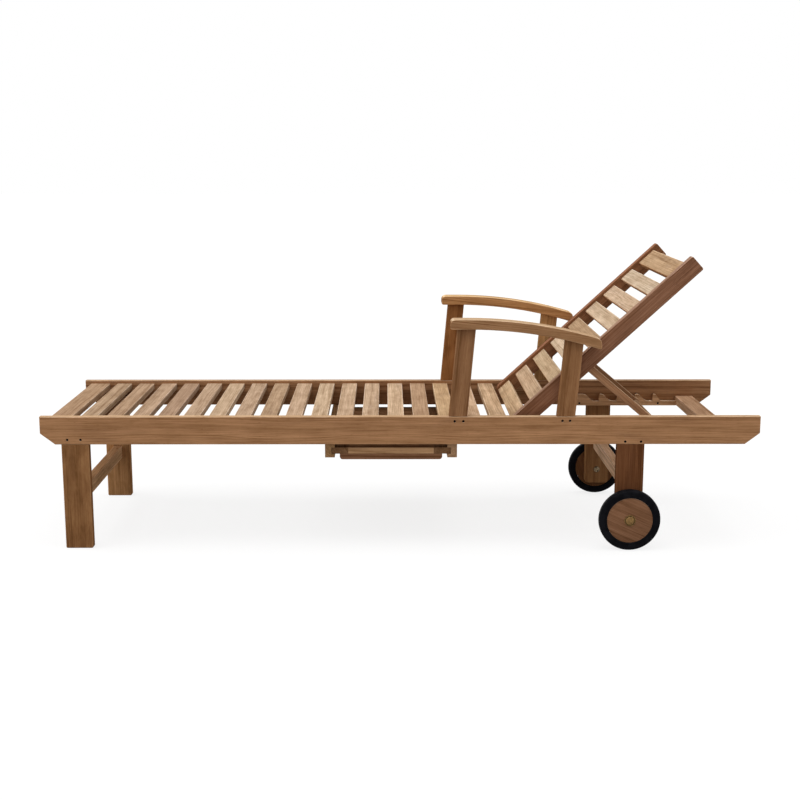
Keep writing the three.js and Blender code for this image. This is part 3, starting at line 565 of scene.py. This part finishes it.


def turned_metal(name, bright, tarnished, roughness, shade_from=0, shade_ring=None):
    """Metal left outdoors: finely mottled with tarnish, with painted shade in its holes and
    grooves.

    The painted shade lies below a face this many mm from the lounger's middle plane, or in a ring
    about the axle, given by its radius and half its width in mm.
    """
    material, tree = new_material(name)
    where = add(tree, "ShaderNodeTexCoord").node.outputs
    tarnish = {"Vector": where["Object"], "Scale": 480.0, "Detail": 4.0, "Roughness": 0.6}
    tarnish = add(tree, "ShaderNodeTexNoise", tarnish)
    tarnish = add(tree, "ShaderNodeMapRange", {"Value": tarnish, 1: 0.36, 2: 0.62})
    colour = {"Factor": tarnish, 6: linear(bright), 7: linear(tarnished)}
    colour = add(tree, "ShaderNodeMix", colour, out=2, data_type="RGBA")
    if shade_from:
        from_middle = add(tree, "ShaderNodeSeparateXYZ", {0: where["Object"]}, out=1)
        from_middle = add(tree, "ShaderNodeMath", {0: from_middle}, operation="ABSOLUTE")
        start, full = ((shade_from + deep) * MM for deep in SHADE_DEEP_MM)
        painted_shade = add(tree, "ShaderNodeMapRange", {"Value": from_middle, 1: start, 2: full})
        shaded_colour = {"Factor": painted_shade, 6: colour, 7: linear("#0c0906")}
        colour = add(tree, "ShaderNodeMix", shaded_colour, out=2, data_type="RGBA")
    if shade_ring:
        vector_node = "ShaderNodeVectorMath"
        across_axle = Vector((1, 0, 1))
        axle = middle("axle_bolt_left") * across_axle
        off_axle = {0: where["Object"], 1: axle}
        off_axle = add(tree, vector_node, off_axle, operation="SUBTRACT")
        off_axle = add(tree, vector_node, {0: off_axle, 1: across_axle}, operation="MULTIPLY")
        off_axle = add(tree, vector_node, {0: off_axle}, out="Value", operation="LENGTH")
        radius, reach = shade_ring
        near = {0: off_axle, 1: radius * MM, 2: reach * MM}
        near = add(tree, "ShaderNodeMath", near, operation="COMPARE")
        shaded_colour = {"Factor": near, 6: colour, 7: linear("#241a0e")}
        colour = add(tree, "ShaderNodeMix", shaded_colour, out=2, data_type="RGBA")
    rough = add(tree, "ShaderNodeMapRange", {"Value": tarnish, 3: roughness[0], 4: roughness[1]})
    bump = add(tree, "ShaderNodeBump", {"Height": tarnish, "Strength": 0.3, "Distance": 0.0003})
    finish = {"Base Color": colour, "Metallic": 1.0, "Roughness": rough, "Normal": bump}
    metal = add(tree, "ShaderNodeBsdfPrincipled", finish)
    add(tree, "ShaderNodeOutputMaterial", {"Surface": metal})
    return material


RUBBER = tyre_rubber()
CAP_GROOVE_SHADE_MM = (13.0, 0.8)  # a ring of painted shade in the groove between the cap's rolled rim and its dome
CAP_BRASS = turned_metal(
    "tarnished_brass", "#8e7145", "#5a442c", (0.48, 0.7), shade_ring=CAP_GROOVE_SHADE_MM
)
# The nut is painted darker below its face: painted shade in its pin-spanner holes.
NUT_FACE_MM = min(abs(corner.y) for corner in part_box("axle_bolt_left")) / MM
NUT_STEEL = turned_metal("dull_zinc_nut", "#8e7c62", "#5c4d3c", (0.5, 0.7), NUT_FACE_MM)
# Dark-finished screw steel, made near black as painted shade at the bottom of each hole.
SCREW_STEEL = turned_metal("dark_screw_steel_hole_shade", "#241c16", "#120d0a", (0.55, 0.75))

# ---------------------------------------------------------------- boards as the CAD has them


def dress_slat(node, wood, grain, seed, **choices):
    """Slats are more blotched than striped."""
    look = {"figure": SLAT_FIGURE, "mottle": SLAT_MOTTLE, **choices}
    dress(nodes[node], teak_board(node, wood, grain, middle(node), seed, **look))


for n, wood in enumerate(SEAT_SLATS, 1):
    dress_slat(f"seat_slat_{n:02d}", wood, ALONG_Y, 100 + n, weathered=EVEN)
for n, wood in enumerate(BACK_SLATS, 1):
    dress_slat(f"back_slat_{n}", wood, swung_up(ALONG_Y, RECLINE), 130 + n)
dress(nodes["tray_deck"], tray_teak(WOOD["tray_deck"], 161))

# ---------------------------------------------------------------- screws and their drilled holes

SCREW_HOLE_MM = 7.4
SCREW_SUNK_MM = 2.6  # the head lies this far below the face
SCREW_SHANK_MM = 3.2
SCREW_LONG_MM = 6  # how far a screw goes on below the floor of its hole
CROSS_MM = (3.4, 0.8)  # length and width of each bar of the cross recess
CROSS_DEEP_MM = 1.2
RAIL_SCREWS_MM = (
    (-925, 311), (-888, 311),  # front leg
    (151, 363), (175, 363),  # front arm post
    (450, 364), (471, 364),  # rear arm post
    (626, 305), (670, 305),  # rear leg
)  # (x, z) on the outer face of a side rail
RACK_SCREWS_MM = ((578, 305), (829, 305))


def screw_and_drill():
    """A countersunk cross-head screw and the drill for its hole, at the origin and facing -Y."""
    hole = SCREW_HOLE_MM / 2
    deep = SCREW_SUNK_MM + 1.4
    shape = [(0, deep), (hole, deep), (hole, 0.5), (hole + 0.7, -0.3), (0, -0.3)]
    drill_shape = turned("screw_drill", shape, 0, 0, steps=24)
    face = SCREW_SUNK_MM
    head = hole - 0.15
    shank = SCREW_SHANK_MM / 2
    tip = deep + SCREW_LONG_MM
    shape = [(0, tip), (shank, tip), (shank, face + 1.7)]
    shape += [(head, face + 0.4), (head - 0.4, face), (0, face)]
    screw = turned("screw", shape, 0, 0, steps=24)
    recess = []
    for size in (CROSS_MM, CROSS_MM[::-1]):
        bpy.ops.object.select_all(action="DESELECT")
        bpy.ops.mesh.primitive_cube_add(size=1, location=(0, face * MM, 0))
        bpy.ops.transform.resize(value=(size[0] * MM, 2 * CROSS_DEEP_MM * MM, size[1] * MM))
        bpy.ops.object.transform_apply(location=True, rotation=True, scale=True)
        recess.append(bpy.context.object)
    for bar in recess:
        drill(screw, [bar])
    dress(screw, SCREW_STEEL)
    return screw, drill_shape


SCREW, DRILL = screw_and_drill()


def screw_in(board, places_mm, face_y, facing):
    """Drills a board at these places on one face, and leaves a screw in each hole."""
    drills = []
    for n, (x, z) in enumerate(places_mm, 1):
        place = (x * MM, face_y, z * MM)
        drills.append(copy_to(DRILL, "drill", place, facing))
        screw = copy_to(SCREW, f"screw_{board.name}_{n}", place, facing)
        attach(screw, "frame")
    drill(board, drills)


# ---------------------------------------------------------------- worked boards


def finish_board(node, wood, grain, seed, screws=None, face_y=0, facing=-1, **choices):
    """A planed, drilled and sanded board in the place of its CAD node."""
    board = planed_copy(node)
    if screws:
        screw_in(board, screws, face_y, facing)
    soften(board)
    dress(board, teak_board(node, wood, grain, middle(node), seed, **choices))
    stand_for(board, node)


def one_of_pair(n, board, grain, seed, *screws, **choices):
    """The left (0) or the right (1) one of a pair of boards."""
    side, _ = sides[n]
    finish_board(f"{board}_{side}", WOOD[board][n], grain, seed + n, *screws, **choices)


RAKE = math.radians(-5)  # the arm posts lean towards the head end
ARM_SLOPE = math.radians(-6)  # the armrests fall towards it
POST_GRAIN = swung_up(ALONG_Z, RAKE)
ARM_GRAIN = swung_up(ALONG_X, ARM_SLOPE)
BACK_GRAIN = swung_up(ALONG_X, RECLINE)
PROP_GRAIN = swung_up(ALONG_X, PROP_SLOPE)
FRONT_LEG_LOOK = {"figure": FRONT_LEG_FIGURE, "mottle": FRONT_LEG_MOTTLE}
for n, (side, sign) in enumerate(sides):
    low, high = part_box(f"side_rail_{side}")
    outer = low.y if sign < 0 else high.y
    low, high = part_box(f"rack_{side}")
    inner = high.y if sign < 0 else low.y
    rail_pith = (0, 95, -62 + 30 * n)
    one_of_pair(n, "side_rail", ALONG_X, 11, RAIL_SCREWS_MM, outer, sign, pith=rail_pith)
    one_of_pair(n, "rack", ALONG_X, 61, RACK_SCREWS_MM, inner, -sign)
    one_of_pair(n, "front_leg", ALONG_Z, 21, **FRONT_LEG_LOOK)
    one_of_pair(n, "rear_leg", ALONG_Z, 31)
    one_of_pair(n, "arm_post_front", POST_GRAIN, 41, mottle=(MOTTLE, FAR_POST_MOTTLE)[n])
    one_of_pair(n, "arm_post_rear", POST_GRAIN, 43)
    one_of_pair(n, "armrest", ARM_GRAIN, 51)
    one_of_pair(n, "back_rail", BACK_GRAIN, 71, weathered=(BLEACHED_AND_SHEEN, HALF_BLEACHED_AND_SHEEN)[n])
    one_of_pair(n, "prop_arm", PROP_GRAIN, 81)
for n, end in enumerate(("front", "rear")):
    cross_rail, stretcher = WOOD["cross_rail"][n], WOOD["stretcher"][n]
    finish_board(f"{end}_cross_rail", cross_rail, ALONG_Y, 150 + n, weathered=(EVEN, TOPS_PAINTED_SHADE)[n])
    finish_board(f"{end}_stretcher", stretcher, ALONG_Y, 152 + n, weathered=(TOPS_DEEP_PAINTED_SHADE, TOPS_PAINTED_SHADE)[n])
for n, end in enumerate(("foot", "head")):
    finish_board(f"tray_runner_{end}", WOOD["runner"][n], ALONG_Y, 154 + n, weathered=TOPS_DEEP_PAINTED_SHADE)
finish_board("tray_pull", WOOD["tray_pull"], ALONG_X, 162, weathered=EVEN)
for tool in (SCREW, DRILL):
    bpy.data.objects.remove(tool)

# ---------------------------------------------------------------- turned pieces

BAR_END_MM = 1.5  # rounding of the dowel's ends


def prop_dowel():
    """The dowel that stands in the racks, rounded at both ends."""
    low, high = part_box("prop_bar")
    centre = middle("prop_bar")
    radius = (high.z - low.z) / 2 / MM
    end = high.y / MM
    near = arc((radius - BAR_END_MM, -end + BAR_END_MM), BAR_END_MM, -90, 0, 4)
    far = arc((radius - BAR_END_MM, end - BAR_END_MM), BAR_END_MM, 0, 90, 4)
    dowel = turned("prop_dowel", [(0, -end), *near, *far, (0, end)], centre.x, centre.z, steps=64)
    dress(dowel, teak_board("prop_bar", WOOD["prop_bar"], ALONG_Y, centre, 163))
    stand_for(dowel, "prop_bar")


TYRE_SHOULDER_MM = 7
TYRE_BEVEL_MM = 1.2  # where the tyre grips the disc
TYRE_RING_MM = 5.0  # from there to the ring that is moulded into each wall
RING_WIDE_MM = 1.6
RING_DEEP_MM = 0.7
PARTING_WIDE_MM = 1.6  # the line round the tread where the two halves of the mould met
PARTING_DEEP_MM = 0.4
BEAD_GAP_MM = 0.3
DISC_EDGE_MM = 1.6
DISC_TURN_DEG = (-24, -74)  # how each disc has come to rest, by the way its grain lies
AXLE_MM = 10
AXLE_PLAY_MM = 0.3


def wheel(n, side):
    """A turned teak disc with a moulded rubber tyre."""
    low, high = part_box(f"tyre_{side}")
    centre = middle(f"tyre_{side}")
    tread = (high.z - low.z) / 2 / MM
    disc_low, disc_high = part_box(f"wheel_disc_{side}")
    rim = (disc_high.z - disc_low.z) / 2 / MM
    bead = rim + BEAD_GAP_MM
    bevel = TYRE_BEVEL_MM
    y0, y1 = low.y / MM, high.y / MM
    shoulder = TYRE_SHOULDER_MM
    wall = tread - shoulder
    ring = bead + TYRE_RING_MM
    rings = [(ring, 0), (ring + RING_WIDE_MM / 2, RING_DEEP_MM), (ring + RING_WIDE_MM, 0)]
    tyre_shape = [(bead, y0 + bevel), (bead + bevel, y0)]
    tyre_shape += [(radius, y0 + depth) for radius, depth in rings]
    tyre_shape += arc((wall, y0 + shoulder), shoulder, -90, 0, 8)
    parting, half = (y0 + y1) / 2, PARTING_WIDE_MM / 2
    tyre_shape += [(tread, parting - half), (tread - PARTING_DEEP_MM, parting)]
    tyre_shape += [(tread, parting + half)]
    tyre_shape += arc((wall, y1 - shoulder), shoulder, 0, 90, 8)
    tyre_shape += [(radius, y1 - depth) for radius, depth in reversed(rings)]
    tyre_shape += [(bead + bevel, y1), (bead, y1 - bevel), (bead, y0 + bevel)]
    tyre = turned(f"moulded_tyre_{side}", tyre_shape, centre.x, centre.z, steps=128)
    dress(tyre, RUBBER)
    stand_for(tyre, f"tyre_{side}")

    y0, y1 = disc_low.y / MM, disc_high.y / MM
    bore = AXLE_MM / 2 + AXLE_PLAY_MM
    edge = DISC_EDGE_MM
    disc_shape = [(bore, y0), *arc((rim - edge, y0 + edge), edge, -90, 0, 3)]
    disc_shape += [*arc((rim - edge, y1 - edge), edge, 0, 90, 3), (bore, y1), (bore, y0)]
    disc = turned(f"turned_disc_{side}", disc_shape, centre.x, centre.z, steps=128)
    grain = swung_up(ALONG_X, math.radians(DISC_TURN_DEG[n]))
    dress(disc, teak_board(f"wheel_disc_{side}", WOOD["wheel_disc"][n], grain, centre, 91 + n))
    stand_for(disc, f"wheel_disc_{side}")


CAP_MM = 32
CAP_THICK_MM = 5
CAP_RIM_MM = (
    (0.6, 0), (0, 0.6), (0, 1.3), (0.5, 2.1), (1.5, 2.5), (2.5, 2.3), (3.1, 1.9)
)  # the rolled rim, in from the cap's edge and out from its seat
DOME_FOOT_MM = 2.1
DOME_MM = (12.4, 2.9)  # radius and rise
WASHER_MM = 26
WASHER_THICK_MM = 2.7
WASHER_GAP_MM = 0.3
NUT_MM = 19.5
NUT_THICK_MM = 2.5
NUT_GAP_MM = 0.1
NUT_CHAMFER_MM = 0.9
PIN_HOLE_MM = 4.5
PIN_HOLE_DEEP_MM = 2.1
PIN_HOLE_AT_MM = (2.8, 5.8)  # how far along and how far down from the axle; the other is opposite


def axle_bolt(side, sign):
    """A bolt with a rolled-rim domed cap and a washer, and a nut with two pin-spanner holes."""
    low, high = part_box(f"axle_bolt_{side}")
    centre = middle(f"axle_bolt_{side}")
    inner, outer = sorted((abs(low.y) / MM, abs(high.y) / MM))
    disc_low, disc_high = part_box(f"wheel_disc_{side}")
    washer = WASHER_MM / 2
    washer_out = min(abs(disc_low.y), abs(disc_high.y)) / MM - WASHER_GAP_MM
    washer_in = washer_out - WASHER_THICK_MM
    seat = outer - CAP_THICK_MM
    shank = AXLE_MM / 2
    cap = CAP_MM / 2
    start = inner + NUT_THICK_MM + NUT_GAP_MM
    across, rise = DOME_MM
    quarter = [t * math.pi / 16 for t in range(9)]
    dome = [(across * math.cos(t), seat + DOME_FOOT_MM + rise * math.sin(t)) for t in quarter]
    outline = [(0, start), (shank, start), (shank, washer_in), (washer, washer_in)]
    outline += [(washer, washer_out), (shank, washer_out), (shank, seat)]
    outline += [(cap - inset, seat + out) for inset, out in CAP_RIM_MM]
    outline += [*dome[:-1], (0, outer)]
    outline = [(r, sign * y) for r, y in outline]
    bolt = turned(f"cap_bolt_{side}", outline, centre.x, centre.z, steps=64)
    dress(bolt, CAP_BRASS)
    stand_for(bolt, f"axle_bolt_{side}")

    radius, chamfer, thick = NUT_MM / 2, NUT_CHAMFER_MM, NUT_THICK_MM
    outline = [(0, inner), (radius - chamfer, inner), (radius, inner + chamfer)]
    outline += [(radius, inner + thick), (0, inner + thick)]
    outline = [(r, sign * y) for r, y in outline]
    nut = turned(f"pin_nut_{side}", outline, centre.x, centre.z, steps=48)
    wide, deep = PIN_HOLE_MM / 2, PIN_HOLE_DEEP_MM
    holes = []
    for way in (-1, 1):
        outline = [(0, -deep), (wide, -deep), (wide, deep), (0, deep)]
        hole = turned("pin_hole", outline, 0, 0, steps=20)
        x, z = (way * off * MM for off in PIN_HOLE_AT_MM)
        place = (centre.x + x, sign * inner * MM, centre.z - z)
        holes.append(copy_to(hole, "pin_drill", place))
        bpy.data.objects.remove(hole)
    drill(nut, holes)
    dress(nut, NUT_STEEL)
    stand_for(nut, f"axle_bolt_{side}")


prop_dowel()
for n, (side, sign) in enumerate(sides):
    wheel(n, side)
    axle_bolt(side, sign)

# ---------------------------------------------------------------- studio

LIT_PAPER = 0.38  # what the floor throws back on the lounger
SHADOW_PAPER = 0.2  # what takes the shadow
PAPER_GLOW = 0.81
SKY_STRENGTH = 0.19
FLOOR_WIDE = 60
FLOOR_GAP = 0.0005  # keeps the floor clear of the feet and tyres
LAMP_SPREAD_DEG = 60


def grey(level):
    return (level, level, level, 1)


def seen_directly(tree):
    """1 for what the camera sees, straight or in gloss, and 0 for what only gives light."""
    ray = add(tree, "ShaderNodeLightPath").node.outputs
    seen = {0: ray["Is Camera Ray"], 1: ray["Is Glossy Ray"]}
    return add(tree, "ShaderNodeMath", seen, operation="MAXIMUM")


def studio_floor():
    """White paper sweep. It keeps the shadow of the lounger, and gloss sees it as white."""
    bpy.ops.object.select_all(action="DESELECT")
    bpy.ops.mesh.primitive_plane_add(size=FLOOR_WIDE, location=(0, 0, -FLOOR_GAP))
    floor = bpy.context.object
    floor.name = "studio_floor"
    material, tree = new_material("white_paper")
    seen = seen_directly(tree)
    lit_paper = add(tree, "ShaderNodeBsdfDiffuse", {"Color": grey(LIT_PAPER)})
    shadow_paper = add(tree, "ShaderNodeBsdfDiffuse", {"Color": grey(SHADOW_PAPER)})
    glow = add(tree, "ShaderNodeEmission", {"Color": grey(1), "Strength": PAPER_GLOW})
    seen_paper = add(tree, "ShaderNodeAddShader", {0: shadow_paper, 1: glow})
    paper = add(tree, "ShaderNodeMixShader", {0: seen, 1: lit_paper, 2: seen_paper})
    add(tree, "ShaderNodeOutputMaterial", {"Surface": paper})
    dress(floor, material)


def studio_sky():
    """Even white light from all round, and a white backdrop."""
    world = bpy.data.worlds.new("studio")
    scene.world = world
    world.use_nodes = True
    tree = world.node_tree
    tree.nodes.clear()
    seen = seen_directly(tree)
    light = add(tree, "ShaderNodeBackground", {"Color": grey(1), "Strength": SKY_STRENGTH})
    backdrop = add(tree, "ShaderNodeBackground", {"Color": grey(1), "Strength": 1.0})
    sky = add(tree, "ShaderNodeMixShader", {0: seen, 1: light, 2: backdrop})
    add(tree, "ShaderNodeOutputWorld", {"Surface": sky})


def lamp(name, strength, come_from):
    """A far, wide lamp, which lights the whole floor alike."""
    data = bpy.data.lights.new(name, "SUN")
    data.energy = strength
    data.angle = math.radians(LAMP_SPREAD_DEG)
    light = bpy.data.objects.new(name, data)
    scene.collection.objects.link(light)
    light.rotation_euler = Vector(come_from).to_track_quat("Z", "Y").to_euler()


studio_floor()
studio_sky()
lamp("overhead", 1.75, (-0.15, -0.1, 1.0))
lamp("front_fill", 0.42, (-0.2, -1.0, 0.5))
lamp("foot_fill", 1.15, (-1.0, -0.08, 0.65))
lamp("head_fill", 1.0, (1.0, -0.1, 0.7))
